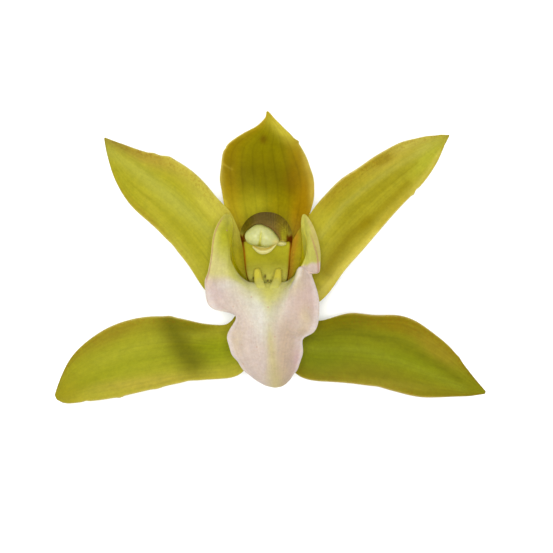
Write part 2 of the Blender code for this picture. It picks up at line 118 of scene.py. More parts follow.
# The lip in seven lines side by side, from its claw under the column, along the trough, over
# the front of the throat and down the hanging midlobe.
LIP_GRID = (260, 120)
KEEL_GRID = (60, 25)
LIP_LINES = {
    "left_margin": [(-2.2, -2.9, 2.4), (-4.5, -2.5, 4.5), (-7.8, 1.6, 7.2), (-9, 7.4, 10.6),
        (-8.8, 12.4, 14.2), (-10.7, 14.3, 17), (-13.4, 9.8, 19), (-14.2, 3.6, 20.6),
        (-15.4, -3.8, 22), (-13.6, -9, 23), (-8, -10.8, 25), (-9.7, -14.8, 24.6), (-9.4, -19, 24),
        (-7.5, -22.3, 23), (-4.6, -25.6, 21.6), (-0.6, -28.2, 20)],
    "left_wall": [(-1.5, -3.3, 2.4), (-3.2, -4, 4.5), (-6.9, -2.6, 7.2), (-8.9, 1, 11.2),
        (-9.2, 5, 15.4), (-9.3, 7, 18.2), (-9.7, 5.2, 20.6), (-10.2, 1.6, 22.4), (-9.9, -3, 24.4),
        (-9, -7.4, 25.6), (-6, -11.6, 26.4), (-6.2, -15.2, 26.2), (-5.6, -19.4, 25.6),
        (-4.2, -22.9, 24.5), (-2.2, -26, 22.6), (0.6, -28.4, 20.4)],
    "left_floor": [(-0.75, -3.6, 2.4), (-1.6, -4.8, 4.5), (-3.9, -5.7, 7.3), (-5.9, -5, 11.7),
        (-6.7, -3.4, 16.4), (-6.8, -1.9, 19.6), (-6.4, -0.9, 22), (-6.2, -2, 24), (-5.6, -5, 25.6),
        (-4.8, -8.6, 26.5), (-3.1, -12.5, 26.9), (-3.1, -16.1, 26.7), (-2.6, -19.9, 25.9),
        (-1.7, -23.3, 24.6), (-0.4, -26.4, 22.6), (1.3, -28.5, 20.5)],
    "middle": [(0, -3.75, 2.4), (0, -5, 4.5), (0, -6.3, 7.4), (0, -6.5, 12), (0, -5.7, 16.6),
        (0, -4.5, 20.2), (0, -3.4, 23), (0, -4.7, 25.1), (0, -7.4, 26.3), (0, -10.4, 26.9),
        (0, -13.5, 27.1), (0.1, -16.8, 26.8), (0.4, -20.2, 26), (0.8, -23.6, 24.4),
        (1.3, -26.6, 22.5), (1.9, -28.6, 20.5)],
    "right_floor": [(0.75, -3.6, 2.4), (1.6, -4.8, 4.5), (3.9, -5.7, 7.3), (5.9, -5, 11.7),
        (6.6, -3.4, 16.4), (6.6, -1.9, 19.6), (6.2, -0.9, 22.2), (5.8, -1.9, 24.2),
        (5.2, -4.6, 25.9), (4.8, -8.2, 26.9), (4.2, -12.6, 27), (3.3, -16.5, 26.5),
        (3, -19.9, 25.7), (2.9, -23.4, 24.1), (2.9, -26.4, 22.2), (2.6, -28.5, 20.4)],
    "right_wall": [(1.5, -3.3, 2.4), (3.2, -4, 4.5), (6.9, -2.6, 7.2), (8.9, 1, 11.2),
        (9, 5, 15.4), (9, 6.6, 18.4), (9.1, 4.4, 21.2), (8.6, 1.4, 23.6), (8, -2.2, 25.6),
        (8.2, -7, 26.6), (8, -12.2, 26.4), (6.4, -16.2, 26), (5.6, -19.6, 25.2), (5, -23.2, 23.6),
        (4.4, -26.2, 21.8), (3.2, -28.4, 20.2)],
    "right_margin": [(2.2, -2.9, 2.4), (4.5, -2.5, 4.5), (7.8, 1.6, 7.2), (8.6, 7.4, 10.6),
        (8.3, 12.4, 14.2), (9.3, 14.3, 17), (12, 9.6, 19), (12.9, 2.4, 20.6), (10.8, -1, 23.2),
        (12.4, -7.6, 24), (11.8, -14.2, 24.4), (8.8, -16.5, 24.8), (8.7, -19.5, 23.8),
        (7.8, -22.9, 22.2), (6.4, -25.6, 20.4), (4.4, -27.9, 19.4)],
}

# The middle of the throat, from which its rim and the trough's walls are pushed out.
THROAT = (0, 6)
RIM_PUSH, WALL_PUSH = 0.8, 0.8
# The fold that runs down from the peak of the right flare: its points' x, and their y.
CREASE = ((3.6, 4.0, 4.9, 5.6, 6.7, 7.6, 7.9), (-12.0, -8.0, -5.7, -4.3, -2.5, -0.8, 1.2))
KEEL_CRESTS = {
    "keel_left": [(-2.4, -5.2, 8), (-2.5, -3.6, 14), (-2.6, -0.4, 18.5), (-2.55, 0.9, 20.4),
        (-2.3, -0.6, 22.7), (-2, -1.7, 24.1), (-1.5, -3.3, 25.3), (-0.9, -5.2, 25.4)],
    "keel_right": [(2.2, -5.2, 8), (2.4, -3.6, 14), (2.6, -0.4, 18.5), (2.6, 0.9, 20.4),
        (2.4, -0.6, 22.7), (2.1, -1.7, 24.1), (1.5, -3.3, 25.3), (1, -5.2, 25.4)],
}
KEEL_HALF_WIDTHS = (0.8, 0.8, 0.85, 0.9, 1.05, 1.2, 1.35, 1.5)
KEEL_FOOT = (-6.2, -6.1, -5.0, -4.3, -3.5, -4.5, -5.8, -6.8)

# The column's sections: height, side edges' level, top's level, half width, and how far
# the middle of the underside is hollowed, or swells where this is below 0. It leans to the
# left towards its head, and its shoulders are a little squarer than an ellipse's.
COLUMN_SECTIONS = [
    (2.6, -2.2, 2.7, 2.5, -0.2), (4.6, -2.5, 3.8, 3.5, -0.8), (8, -2.6, 5.6, 4.7, -1.7),
    (13, -1.4, 9, 5.3, -0.9), (17.5, 0.9, 12.2, 5.7, 0.3), (21.5, 4.2, 14.2, 6.2, 0.7),
    (24.5, 6.8, 14.8, 6.7, 0.7), (27, 7.4, 14, 6.4, 0.7), (28.6, 7.2, 12.9, 5.8, 0.7),
]
COLUMN_LEAN = -0.65
COLUMN_SHOULDER = 0.9
COLUMN_RINGS, COLUMN_OVER, COLUMN_UNDER = 120, 113, 65
# The depths of the rings inside the pocket at its end.
POCKET_DEPTHS = (0.25, 0.7, 1.3, 2.0)
# The flap at the head's right corner: its middle and half sizes.
COLUMN_FLAP = ((3.35, 6.95, 28.3), (1.25, 0.62, 0.6))
FLAP_GRID = (24, 36)
# The anther cap: its outline from the front, clockwise from the left end, its middle, its
# half height, and its groove's place, half width and depth.
CAP_OUTLINE = [(-5.8, 8.7), (-5.5, 9.6), (-4.3, 10.7), (-2.8, 11.6), (-1.4, 11.6),
               (-0.4, 11.1), (0.7, 10.6), (1.8, 9.5), (2.6, 8.4), (3.1, 7.4), (2.4, 6.8),
               (1.4, 6.4), (0.3, 6.1), (-0.8, 6), (-1.9, 6.3), (-2.9, 6.3), (-3.9, 6.6),
               (-4.9, 7.2), (-5.6, 7.9)]
CAP_CENTRE = np.array((-1.4, 8.6, 28.4))
CAP_HEIGHT = 2.6
CAP_GROOVE = (-1.75, 0.35, 0.3)
CAP_GRID = (60, 144)
# The crescent under the cap: its line from the front, and half widths along it.
VISCIDIUM = [(-3.7, 6.2), (-3.0, 5.7), (-2.0, 5.2), (-0.9, 5.1), (0.4, 5.4), (1.4, 6.1),
             (2.1, 6.7)]
VISCIDIUM_WIDTHS = (0.25, 0.55, 0.75, 0.8, 0.7, 0.5, 0.25)
VISCIDIUM_HEIGHT = 29.3
VISCIDIUM_GRID = (48, 28)

# The ovary and stalk: a boss in a flange, a bend down to the table, and a run along it.
BOSS_RADIUS, BOSS_TOP = 3.2, 2.3
FLANGE_RADIUS, FLANGE_TOP, FLANGE_BOTTOM = 5.0, -0.8, -1.9
BEND_RADIUS = 10.4
STALK_AXIS = TABLE + 1.95
STALK_END = -27.0
STALK_RADII = (2.4, 2.75, 2.95, 2.9, 2.65, 2.35, 2.2, 2.2)
STALK_RIBS, STALK_RIB_DEPTH = 6, 0.05
STALK_RINGS, STALK_SIDES = 60, 96

# The maroon specks at the foot of the column's underside: place and half sizes from the front.
THROAT_SPECKS = [(-3.6, -1.6, 0.26, 0.38), (-0.67, -1.1, 0.24, 0.55), (-0.04, -2.15, 0.28, 0.25),
                 (0.75, -2.2, 0.17, 0.2)]

# Colours are given as they look in this studio's light, from 0 to 255. SHEEN is the white
# that a surface mirrors, and LIGHT_ON is how strongly the studio lights each piece.
# DARKEST and LIGHTEST bound the share of light that a surface gives back.
SHEEN = 0.0075
DARKEST, LIGHTEST = 0.0004, 0.95
LIGHT_ON = {
    "dorsal_sepal": 1.35, "petal_left": 1.93, "petal_right": 1.72,
    "lateral_sepal_left": 1.97, "lateral_sepal_right": 1.9, "lip": 2.0, "keels": 1.35,
    "column": 1.2, "cap": 1.95, "ovary_pedicel": 1.3,
}
TEPAL_PARTS = ("middle", "left", "right", "base", "tip", "back", "rim")
TEPAL_COLOURS = {
    "dorsal_sepal": [(138, 126, 14), (152, 127, 12), (168, 136, 28), (158, 152, 30),
        (160, 148, 38), (150, 146, 50), (194, 180, 92)],
    "petal_left": [(184, 177, 44), (178, 171, 43), (207, 193, 76), (176, 172, 42), (172, 164, 54),
        (178, 174, 84), (206, 196, 110)],
    "petal_right": [(174, 164, 44), (176, 156, 42), (188, 172, 60), (160, 150, 30), (184, 172, 62),
        (174, 168, 80), (212, 200, 122)],
    "lateral_sepal_left": [(170, 168, 42), (189, 181, 60), (163, 152, 40), (146, 154, 24),
        (164, 156, 36), (162, 160, 70), (192, 180, 98)],
    "lateral_sepal_right": [(141, 142, 30), (141, 128, 26), (141, 131, 30), (128, 134, 20),
        (138, 136, 28), (150, 148, 64), (182, 166, 90)],
}
COLOURS = {name: dict(zip(TEPAL_PARTS, row)) for name, row in TEPAL_COLOURS.items()} | {
    "lip": {
        "blush": (222, 204, 190), "dusk_shade": (206, 184, 162), "pink": (216, 182, 178),
        "mauve": (222, 196, 196), "butter": (222, 204, 158), "cream": (226, 224, 194),
        "shade": (200, 188, 150), "lime": (210, 204, 100), "rim": (206, 202, 112),
        "lobe": (208, 204, 100), "lobe_low": (224, 214, 146), "lobe_green": (190, 188, 46),
        "deep": (207, 198, 26), "stripe": (202, 190, 106), "line": (192, 136, 116),
        "pale_rim": (210, 196, 116), "flush": (226, 202, 194), "edge": (236, 224, 218),
        "ochre": (196, 172, 132), "white": (232, 226, 214), "outside": (214, 208, 132),
        "keel_foot": (208, 202, 102),
    },
    "keels": {"crest": (206, 195, 74)},
    "column": {
        "back": (150, 146, 52), "belly": (168, 162, 44), "deep": (254, 248, 120),
        "rust": (150, 100, 26), "brown": (140, 96, 26), "maroon": (84, 46, 22),
        "speck": (64, 26, 10), "pocket": (214, 186, 96), "head": (94, 79, 42),
        "head_left": (84, 74, 26), "head_right": (108, 92, 34), "patch": (130, 124, 34),
        "head_end": (86, 56, 20), "foot": (168, 148, 66), "corner": (78, 46, 18),
        "mouth": (112, 88, 48),
    },
    "cap": {
        "cream": (211, 212, 138), "edge": (192, 192, 74), "groove": (208, 202, 50),
        "beak": (222, 205, 118), "crescent": (214, 206, 122), "gold_shadow": (208, 176, 66),
        "flap": (206, 198, 116),
    },
    "ovary_pedicel": {
        "green": (126, 138, 52), "pale": (158, 160, 76), "groove": (92, 102, 36),
        "cut": (196, 192, 128),
    },
}

# Soft patches on the sepals and petals: middle, half length and half width, turn from +X
# towards +Y in degrees, colour, and how much of it shows.
PATCHES = {
    "dorsal_sepal": [
        # Painted shade: the next three patches darken the hollow middle and top of the hood.
        (0.5, 32.6, 5, 3, 0, (132, 124, 14), 0.5),
        (-2, 24.8, 6, 3.2, 0, (122, 111, 5), 0.5),
        (5.6, 23.4, 2.4, 3, 0, (126, 102, 8), 0.5),
        (9.6, 28.5, 1, 5, 12, (198, 178, 70), 0.8),
        (6.4, 23.2, 1.6, 4.6, 0, (140, 108, 10), 0.6),
        (9, 19, 1.3, 5, 0, (166, 126, 22), 0.6),
        (11.4, 20, 0.9, 5, 0, (196, 172, 70), 0.8),
        (4.2, 35.2, 4.5, 1.7, -45, (194, 182, 62), 0.8),
        (-6.4, 34.6, 5, 0.7, 28, (180, 166, 60), 0.6),
        (-9.6, 22.6, 1.4, 5, 0, (156, 128, 12), 0.6),
        (-11.6, 22, 0.7, 7, 0, (176, 158, 54), 0.6),
        (-8.3, 15.2, 2.4, 5, 0, (184, 160, 36), 0.8),
        (-11, 17, 1, 3, 10, (204, 186, 62), 0.7),
        (-3.4, 16.6, 4.2, 4.6, 0, (168, 160, 38), 0.85),
        (3.4, 15.2, 3, 4, 0, (150, 132, 18), 0.6),
        (7.4, 13.6, 1.8, 5, 0, (158, 122, 20), 0.8),
        (-1.1, 33.2, 0.8, 1, 0, (108, 78, 10), 0.65),
    ],
    "petal_left": [
        (-31.2, 29.7, 7, 2, -22, (182, 156, 56), 0.7),
        (-37.5, 32.4, 4, 1.2, -25, (156, 134, 44), 0.7),
        (-25.8, 19.5, 13, 2.4, -41, (194, 191, 76), 0.5),
        (-30.4, 13.8, 7, 0.7, -45, (182, 164, 50), 0.6),
        (-29.4, 16.2, 5, 1.3, -52, (196, 186, 58), 0.5),
        (-14.4, 16.6, 6, 2.2, -48, (216, 206, 78), 0.8),
        (-21, 4.4, 8, 1.6, -52, (196, 188, 68), 0.7),
        (-27, 22.5, 12, 0.5, -41, (158, 156, 34), 0.35),
        # Painted light: lightens the petal's base, which lies in shade between the lip's lobe and
        # the column.
        (-7, 2.5, 3, 5, 0, (187, 173, 36), 1),
    ],
    "petal_right": [
        (33, 29.8, 9, 1.6, 36, (200, 184, 72), 0.7),
        (41, 32, 5, 1.6, 30, (196, 188, 78), 0.7),
        (38, 33.4, 9, 1.2, 22, (204, 194, 88), 0.5),
        (25, 19, 13, 2.2, 42, (160, 148, 32), 0.6),
        (13.5, 13, 3, 4.5, 30, (190, 180, 54), 0.7),
        (40.5, 29, 6, 2, 48, (184, 184, 56), 0.7),
        (29.2, 28.6, 3, 1.2, 28, (154, 130, 28), 0.7),
        # Painted light: lightens the petal's base, which lies in shade between the lip's lobe and
        # the column.
        (7.6, 3.5, 3, 5, 0, (177, 159, 30), 1),
    ],
    "lateral_sepal_left": [
        (-14.3, -20, 9, 3.2, 4, (146, 156, 18), 0.7),
        (-18.2, -13.8, 5, 2, -10, (124, 120, 18), 0.7),
        (-35.5, -22.5, 9, 3.5, 14, (174, 176, 46), 0.6),
        (-39.6, -15.4, 9, 2.2, 30, (158, 140, 38), 0.6),
        (-31.2, -28.2, 13, 1.5, 7, (190, 174, 66), 0.7),
        (-51.5, -31.8, 4, 3, 30, (168, 156, 36), 0.5),
    ],
    "lateral_sepal_right": [
        (34.2, -22.8, 15, 2.4, -13, (140, 148, 28), 0.7),
        (13.6, -21.6, 6, 4, 0, (128, 138, 12), 0.7),
        (19, -12.4, 8, 2, 0, (128, 122, 14), 0.8),
        (33, -13.4, 7, 2, -12, (146, 126, 26), 0.7),
        (43.1, -19.9, 8, 2.2, -38, (166, 144, 42), 0.7),
        (26, -26, 13, 2.8, -5, (140, 134, 34), 0.6),
        (27.9, -28.8, 13, 1.4, -4, (158, 148, 48), 0.6),
    ],
}

# Soft lines along the sepals and petals: their points, half width, colour and share.
LINES = {
    "dorsal_sepal": [
        (((-11.1, 27), (-8.9, 25.9)), 0.22, (186, 168, 60), 0.6),
    ],
    "petal_left": [
        (((-40.4, 30.6), (-31.5, 24.8), (-22, 16.9), (-13.6, 9.6)), 1.6, (198, 196, 82), 0.4),
        (((-36, 23.4), (-28, 16.6), (-20, 8.6), (-14, 1.5)), 0.35, (158, 152, 34), 0.35),
    ],
    "petal_right": [
        # Painted highlight: a lit line along the lower margin, beside a fold.
        (((12.6, -6.6), (18.6, 0.6), (24.8, 7), (27.6, 9.8)), 1, (212, 199, 86), 0.8),
        (((5.6, -1.5), (5.9, 4), (6.9, 9)), 0.9, (214, 158, 44), 0.8),
        (((36.5, 20), (40.5, 25), (44, 30.4)), 0.7, (206, 196, 84), 0.6),
        # Painted shade: the next two lines darken the fold's groove beside the lit margin.
        (((14.6, 0.4), (17.4, 4.9), (20.5, 9), (25.1, 12.7)), 1.8, (144, 126, 8), 0.75),
        (((24, 11.8), (28.1, 15.4), (32.2, 19.2), (35.4, 22.6)), 1.1, (148, 130, 14), 0.6),
        (((13, 9), (19, 17), (26, 22.6), (33, 27.2), (41, 32.2)), 0.9, (190, 184, 84), 0.35),
        (((16, 9), (22.6, 16.4), (30, 21.6), (38, 28)), 0.3, (146, 134, 26), 0.4),
    ],
    "lateral_sepal_left": [
        (((-8, -17.5), (-22, -20.5), (-36, -23.5), (-48, -29)), 1.4, (150, 154, 26), 0.3),
        (((-12, -15), (-30, -17.6), (-44, -23)), 1.2, (176, 174, 52), 0.4),
        # Painted shadow: a broad dark band where the lip's shadow falls across the sepal.
        (((-25.6, -10.5), (-24.6, -13.5), (-22.2, -18.4), (-19, -23)), 3.7, (112, 108, 8), 0.85),
    ],
    "lateral_sepal_right": [
        (((9, -16.6), (19.9, -14.9), (31.2, -17.4), (38.8, -21.2), (44, -24),
          (49, -27.6)), 1.2, (112, 111, 8), 0.45),
        (((8, -19.5), (24, -19.6), (38, -24.6), (50, -30)), 1.1, (154, 158, 44), 0.4),
    ],
}

# How strongly the brown flecks gather on each side, right first, and at the tip.
FLECKED = {
    "dorsal_sepal": (0.75, 0.6, 0), "petal_left": (1, 0.8, 1), "petal_right": (0.7, 1, 1),
    "lateral_sepal_left": (0.9, 0.5, 0.7), "lateral_sepal_right": (0.85, 1.1, 0.8),
}

# Nicks and teeth in the margins: share along, side, depth in, half length as a share.
NICKS = {
    "dorsal_sepal": [(0.666, 1, -0.6, 0.022), (0.585, -1, 0.15, 0.01)],
    "petal_left": [(0.62, 1, -0.35, 0.02), (0.68, 1, -0.25, 0.015), (0.5, -1, 0.2, 0.02)],
    "petal_right": [(0.93, 1, 0.5, 0.006), (0.685, 1, -0.3, 0.006), (0.7, 1, 0.2, 0.008)],
    "lateral_sepal_left": [(0.55, 1, -0.25, 0.015), (0.82, -1, 0.2, 0.012), (0.53, -1, 0.2, 0.014),
        (0.61, -1, -0.2, 0.012), (0.71, -1, -0.25, 0.01)],
    "lateral_sepal_right": [(0.86, -1, -0.25, 0.01), (0.6, 1, 0.2, 0.02)],
}

# The tissue: how many waves of each pattern fit in a metre, its relief in metres, and how
# far light spreads in it, in millimetres for red, green and blue.
WANDER_SCALE, MOTTLE_SCALE, SPECK_SCALE = 90.0, 420.0, 420.0
FLECK_SCALE, GRAIN_SCALE = 1500.0, 1700.0
RELIEF_STRENGTH, RELIEF_DEPTH = 0.35, 0.00012
SOFTNESS, SOFT_REACH = 0.18, (1.4, 1.0, 0.3)


def own(colour, piece):
    """A surface's own colour, from its name, or from how it looks in this studio's light."""
    if isinstance(colour, str):
        colour = COLOURS[piece][colour]
    share = np.asarray(colour, float) / 255
    seen = np.where(share <= 0.04045, share / 12.92, ((share + 0.055) / 1.055) ** 2.4)
    return np.clip((seen - SHEEN) / LIGHT_ON[piece], DARKEST, LIGHTEST)


def ramp(low, high, value):
    """A soft step from 0 at low to 1 at high, which may be the smaller."""
    share = np.clip((value - low) / (high - low), 0, 1)
    return share * share * (3 - 2 * share)


def hump(value, centre, width):
    return np.exp(-((value - centre) / width) ** 2)


def mixed(first, second, share):
    return first + (second - first) * np.asarray(share)[..., None]


def laid(tint, piece, layers):
    """The tint, or colour, with each layer's colour laid over it by its share."""
    if isinstance(tint, str):
        tint = own(tint, piece)
    for colour, share in layers:
        tint = mixed(tint, own(colour, piece), share)
    return tint


def spline(knots, at):
    """Points on the natural cubic spline through the knots, at shares of its length."""
    knots = np.asarray(knots, float)
    last = len(knots) - 1
    system = np.eye(last + 1)
    pull = np.zeros_like(knots)
    for i in range(1, last):
        system[i, i - 1:i + 2] = 1, 4, 1
        pull[i] = 6 * (knots[i - 1] - 2 * knots[i] + knots[i + 1])
    bend = np.linalg.solve(system, pull.reshape(last + 1, -1)).reshape(knots.shape)
    along = np.asarray(at, float) * last
    cell = np.minimum(along.astype(int), last - 1)
    after = (along - cell).reshape((-1,) + (1,) * (knots.ndim - 1))
    before = 1 - after
    curve = (before ** 3 - before) * bend[cell] + (after ** 3 - after) * bend[cell + 1]
    return before * knots[cell] + after * knots[cell + 1] + curve / 6


def placed(points):
    return (np.asarray(points, float) + HEART) * MM


def waves(at, seed, count, low, high):
    """A smooth wander of about unit size, as a sum of waves with set pace and start."""
    picks = np.random.default_rng(seed)
    total = np.zeros_like(at)
    for pace, start in zip(picks.uniform(low, high, count), picks.uniform(0, 7, count)):
        total += np.sin(pace * at + start)
    return total / sqrt(count)


def distance(places, points):
    """How far each place is from the line through the points."""
    nearest = np.full(places.shape[:-1], np.inf)
    for start, end in zip(np.array(points[:-1]), np.array(points[1:])):
        reach = end - start
        share = np.clip((places - start) @ reach / (reach @ reach), 0, 1)
        away = places - start - share[..., None] * reach
        nearest = np.minimum(nearest, norm(away, axis=-1))
    return nearest


def normals(skin):
    """Unit normals of a grid of points, from its lines along and across."""
    along = np.gradient(skin, axis=0)
    across = np.gradient(skin, axis=1)
    normal = np.cross(across, along)
    return normal / np.maximum(norm(normal, axis=2, keepdims=True), 1e-9)


def linked(made):
    bpy.context.scene.collection.objects.link(made)
    return made


def add_piece(name, points, faces, slot, finish, node=None, **layers):
    """A piece of the bloom, with the numbers or colours that its material reads."""
    mesh = bpy.data.meshes.new(name)
    mesh.from_pydata(placed(points).tolist(), [], faces)
    mesh.validate()
    mesh.shade_smooth()
    piece = linked(bpy.data.objects.new(name, mesh))
    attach(piece, "root")
    if node:
        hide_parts(node)
    for key, values in layers.items():
        values = np.asarray(values, np.float32)
        if values.ndim == 1:
            layer = mesh.attributes.new(key, "FLOAT", "POINT")
            layer.data.foreach_set("value", values)
        else:
            layer = mesh.color_attributes.new(key, "FLOAT_COLOR", "POINT")
            full = np.concatenate([values, np.ones((len(values), 1), np.float32)], axis=1)
            layer.data.foreach_set("color", full.ravel())
    mesh.materials.append(finish)


def blade_grid(rows, columns):
    """Shares along, and places across from -1 to 1 that crowd towards the margins, as two
    lists and then as two grids."""
    along = np.linspace(0, 1, rows + 1)
    across = -np.cos(np.linspace(0, pi, columns + 1))
    return along, across, *np.meshgrid(along, across, indexing="ij")


def blade(name, skin, front, back, slot, finish, tints, u, v, fleck, turned=False):
    """A closed blade: the skin's grid raised to a front and a back that meet in its margins."""
    rows, columns = skin.shape[:2]
    normal = normals(skin) * (-1 if turned else 1)
    points = both_faces(skin + normal * front[..., None], skin - normal * back[..., None])
    top = np.arange(rows * columns).reshape(rows, columns)
    under = top.copy()
    under[:, 1:-1] = top.size + np.arange(rows * (columns - 2)).reshape(rows, -1)

    def quads(grid):
        return np.stack([grid[:-1, :-1], grid[:-1, 1:], grid[1:, 1:], grid[1:, :-1]], axis=2)

    faces = quads(top).reshape(-1, 4).tolist()
    faces += quads(under)[:, :, ::-1].reshape(-1, 4).tolist()
    for end, order in ((0, 1), (-1, -1)):
        for k in range(columns - 1):
            ring = [top[end, k], under[end, k], under[end, k + 1], top[end, k + 1]]
            ring = [int(i) for i in dict.fromkeys(ring)]
            faces.append(ring[::order])
    if turned:
        faces = [face[::-1] for face in faces]
    add_piece(name, points, faces, slot, finish, name, tint=both_faces(*tints),
              across=both_faces(v), along=both_faces(u), fleck=both_faces(fleck))


def both_faces(front, back=None):
    """Grids of values for a blade's front and back, in the order of its points."""
    back = (front if back is None else back)[:, 1:-1]
    return np.concatenate([grid.reshape(-1, *grid.shape[2:]) for grid in (front, back)])


def ring_faces(rings, sides, order=1):
    """Four-sided faces between rings of points, and the end rings closed."""
    grid = np.arange(rings * sides).reshape(rings, sides)
    after = np.roll(grid, -1, axis=1)
    quads = np.stack([grid[:-1], after[:-1], after[1:], grid[1:]], axis=2)
    faces = quads.reshape(-1, 4).tolist() + [grid[0, ::-1].tolist(), grid[-1].tolist()]
    return [face[::order] for face in faces]


def circle(sides):
    return np.linspace(0, 2 * pi, sides, endpoint=False)


def ball_grid(rings, sides, gap):
    """Angles down from a ball's pole, short of both poles by the gap, and angles round it."""
    return np.linspace(gap, pi - gap, rings)[:, None], circle(sides)[None, :]


class Finish:
    """Short calls for building one material."""

    def __init__(self, name, roughness):
        self.material = bpy.data.materials.new(name)
        self.material.use_nodes = True
        self.tree = self.material.node_tree
        self.shader = self.tree.nodes["Principled BSDF"]
        self.shader.inputs["Roughness"].default_value = roughness

    def node(self, kind, inputs=(), output=0, **settings):
        made = self.tree.nodes.new("ShaderNode" + kind)
        for key, value in settings.items():
            setattr(made, key, value)
        for key, value in dict(inputs).items():
            self.feed(made.inputs[key], value)
        return made.outputs[output]

    def feed(self, socket, value):
        if isinstance(value, bpy.types.NodeSocket):
            self.tree.links.new(value, socket)
        else:
            socket.default_value = value

    def layer(self, name, output=2):
        return self.node("Attribute", output=output, attribute_name=name)

    def maths(self, kind, first, second=0.0):
        return self.node("Math", {0: first, 1: second}, operation=kind)

    def times(self, first, second):
        return self.maths("MULTIPLY", first, second)

    def noise(self, vector, scale, detail=2.0, rough=0.5):
        return self.node("TexNoise", {"Vector": vector, "Scale": scale, "Detail": detail,
                                      "Roughness": rough})

    def spread(self, value, low, high, to_low, to_high):
        return self.node("MapRange", {0: value, 1: low, 2: high, 3: to_low, 4: to_high})

    def blend(self, share, first, second, kind="MIX"):
        return self.node("Mix", {0: share, 6: first, 7: second}, 2, data_type="RGBA",
                         blend_type=kind)

    def vector(self, x, y, z=0.0):
        return self.node("CombineXYZ", {0: x, 1: y, 2: z})


def tissue_finish(name, veins, streak, line_share, speck, fleck_colour, roughness=0.5,
                  gloss=0.04, specked=0.05):
    """Living petal: dark veins with streaks between, mottling, flecks, specks and a grain."""
    finish = Finish(name, roughness)
    node, layer, vector, blend = finish.node, finish.layer, finish.vector, finish.blend
    maths, times, noise, spread = finish.maths, finish.times, finish.noise, finish.spread
    tint = layer("tint", 0)
    across = layer("across")
    along = layer("along")
    place = node("TexCoord", output=3)
    wander = times(noise(place, WANDER_SCALE), 0.25)
    lane = maths("ADD", times(across, veins), wander)
    streaks = noise(vector(lane, times(along, 2.2)), 1.3, 3.0)
    ridges = maths("ABSOLUTE", maths("SINE", times(lane, 3.1416)))
    line = spread(ridges, 0.0, 0.45, 1.0, 0.0)
    shade = spread(streaks, 0.3, 0.7, 1.0 - streak, 1.0 + streak)
    shade = maths("SUBTRACT", shade, times(line, line_share))
    mottle = spread(noise(place, MOTTLE_SCALE, 5.0, 0.65), 0.3, 0.7, 0.92, 1.08)
    grain = noise(place, GRAIN_SCALE, 3.0, 0.6)
    fine = spread(grain, 0.3, 0.7, 0.93, 1.07)
    shade = times(times(shade, mottle), fine)
    colour = blend(1.0, tint, vector(shade, shade, shade), "MULTIPLY")
    flecks = noise(place, FLECK_SCALE, 3.0, 0.7)
    flecks = spread(flecks, 0.5, 0.64, 0.0, 0.45)
    flecks = times(flecks, layer("fleck"))
    colour = blend(flecks, colour, (*own(fleck_colour, "petal_left"), 1.0))
    cells = node("TexVoronoi", {"Vector": place, "Scale": SPECK_SCALE}).node.outputs
    chosen = spread(cells["Color"], specked + 0.01, specked, 0.0, 1.0)
    dot = spread(cells["Distance"], 0.06, 0.12, 0.7, 0.0)
    colour = blend(times(chosen, dot), colour, (*own(speck, "petal_left"), 1.0))
    relief = maths("ADD", times(streaks, 0.6), times(grain, 0.5))
    bump = {"Height": relief, "Strength": RELIEF_STRENGTH, "Distance": RELIEF_DEPTH}
    for socket, value in (("Normal", node("Bump", bump)), ("Subsurface Weight", SOFTNESS),
                          ("Subsurface Radius", SOFT_REACH), ("Subsurface Scale", MM),
                          ("Specular IOR Level", gloss), ("Base Color", colour)):
        finish.feed(finish.shader.inputs[socket], value)
    return finish.material


def tepal_skin(form, along, across):
    margins = spline(form["margins"], along)[:, None]
    left, right = margins[..., :2], margins[..., 2:]
    height = spline(form["heights"], along)[:, None]
    swell = np.sin(pi * along[:, None] ** form["cup"][2])
    side = across[None, :]
    lift = np.where(side < 0, form["cup"][0], form["cup"][1]) * swell * side ** 2
    plan = left + (right - left) * (side[..., None] + 1) / 2
    return np.concatenate([plan, (height + lift)[..., None]], axis=2)


